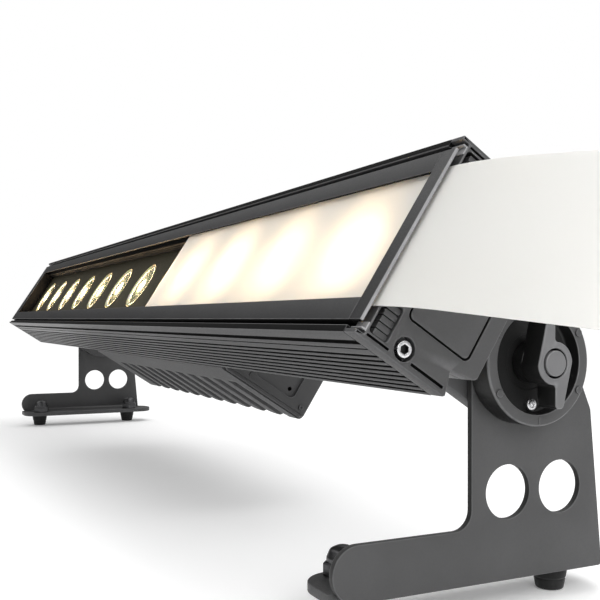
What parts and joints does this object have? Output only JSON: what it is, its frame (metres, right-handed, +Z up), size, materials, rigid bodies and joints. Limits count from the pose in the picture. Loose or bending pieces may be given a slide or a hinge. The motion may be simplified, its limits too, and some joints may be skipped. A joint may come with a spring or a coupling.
{
  "type": "led strip batten",
  "caption": "Tilting LED light bar on two floor brackets with lock knobs, finned driver box and a sliding frost film in its front guides.",
  "frame": {"origin": "on the floor, under the middle of the whole object's box", "axes": "+X along the batten towards the end that the frost film slides out of, -Y towards the lit front, +Z up"},
  "size_m": [1.139, 0.1892, 0.2303],
  "materials": {
    "coated_extrusion": "satin",
    "coated_casting": "satin",
    "bracket_coat": "satin",
    "hub_grey": "satin",
    "black_plastic": "matte",
    "black_rubber": "matte",
    "bright_steel": "polished",
    "blackened_steel": "satin",
    "lens_acrylic": "gloss",
    "circuit_board": "matte",
    "potted_driver": "matte",
    "display_screen": "gloss",
    "frost_sheet": "matte"
  },
  "bodies": {
    "stand_right": {"bracket_right": "bracket_coat", "hub_drum_right": "hub_grey", "drum_screw_right": "bright_steel", "rubber_foot_right_front": "black_rubber", "rubber_foot_right_rear": "black_rubber", "dome_nut_right_front": "blackened_steel", "dome_nut_right_rear": "blackened_steel"},
    "fixture": {"housing_extrusion": "coated_extrusion", "bezel_rail_lower": "coated_extrusion", "bezel_rail_upper": "coated_extrusion", "bezel_end_right": "coated_extrusion", "bezel_end_left": "coated_extrusion", "end_cap_right": "coated_casting", "end_cap_left": "coated_casting", "cap_screw_right_lower": "bright_steel", "cap_screw_right_upper": "bright_steel", "cap_screw_left_lower": "bright_steel", "cap_screw_left_upper": "bright_steel", "lens_plate": "black_plastic", "led_board": "circuit_board", "lens_01": "lens_acrylic", "lens_02": "lens_acrylic", "lens_03": "lens_acrylic", "lens_04": "lens_acrylic", "lens_05": "lens_acrylic", "lens_06": "lens_acrylic", "lens_07": "lens_acrylic", "lens_08": "lens_acrylic", "lens_09": "lens_acrylic", "lens_10": "lens_acrylic", "lens_11": "lens_acrylic", "lens_12": "lens_acrylic", "driver_box": "coated_casting", "driver_end_right": "coated_casting", "driver_end_left": "coated_casting", "driver_module": "potted_driver", "control_panel": "black_plastic", "display_window": "display_screen", "power_inlet": "black_plastic", "power_outlet": "black_plastic", "data_inlet": "black_plastic", "data_outlet": "black_plastic", "pivot_arm_right": "coated_casting", "pivot_arm_left": "coated_casting"},
    "stand_left": {"bracket_left": "bracket_coat", "hub_drum_left": "hub_grey", "drum_screw_left": "bright_steel", "rubber_foot_left_front": "black_rubber", "rubber_foot_left_rear": "black_rubber", "dome_nut_left_front": "blackened_steel", "dome_nut_left_rear": "blackened_steel"},
    "knob_right": {"lock_knob_right": "hub_grey", "hub_bolt_right": "hub_grey"},
    "knob_left": {"lock_knob_left": "hub_grey", "hub_bolt_left": "hub_grey"},
    "film": {"frost_film": "frost_sheet"},
    "menu_key": {"button_menu": "black_rubber"},
    "down_key": {"button_down": "black_rubber"},
    "up_key": {"button_up": "black_rubber"},
    "enter_key": {"button_enter": "black_rubber"}
  },
  "joints": [
    {"name": "housing_tilt", "type": "hinge", "parent": "stand_right", "child": "fixture", "pos_m": [0.377, 0.0266, 0.1265], "axis": [-1, 0, 0], "range_deg": [-45, 130]},
    {"name": "left_bracket_swing", "type": "hinge", "parent": "fixture", "child": "stand_left", "pos_m": [-0.51, 0.0266, 0.1265], "axis": [-1, 0, 0], "range_deg": [-130, 45]},
    {"name": "lock_knob_right_turn", "type": "hinge", "parent": "stand_right", "child": "knob_right", "pos_m": [0.4136, 0.0266, 0.1265], "axis": [1, 0, 0], "range_deg": [0, 90]},
    {"name": "lock_knob_left_turn", "type": "hinge", "parent": "stand_left", "child": "knob_left", "pos_m": [-0.5466, 0.0266, 0.1265], "axis": [-1, 0, 0], "range_deg": [0, 90]},
    {"name": "film_slide", "type": "slide", "parent": "fixture", "child": "film", "axis": [1, 0, 0], "range_m": [-0.133, 0.344], "deforming": ["frost_film"]},
    {"name": "menu_press", "type": "slide", "parent": "fixture", "child": "menu_key", "axis": [0, -0.8396, 0.5432], "range_m": [0, 0.0012], "stiffness_N_per_m": 300, "springref_m": -0.002},
    {"name": "down_press", "type": "slide", "parent": "fixture", "child": "down_key", "axis": [0, -0.8396, 0.5432], "range_m": [0, 0.0012], "stiffness_N_per_m": 300, "springref_m": -0.002},
    {"name": "up_press", "type": "slide", "parent": "fixture", "child": "up_key", "axis": [0, -0.8396, 0.5432], "range_m": [0, 0.0012], "stiffness_N_per_m": 300, "springref_m": -0.002},
    {"name": "enter_press", "type": "slide", "parent": "fixture", "child": "enter_key", "axis": [0, -0.8396, 0.5432], "range_m": [0, 0.0012], "stiffness_N_per_m": 300, "springref_m": -0.002}
  ],
  "couplings": [
    {"joint": "left_bracket_swing", "follows": "housing_tilt", "ratio": -1}
  ]
}
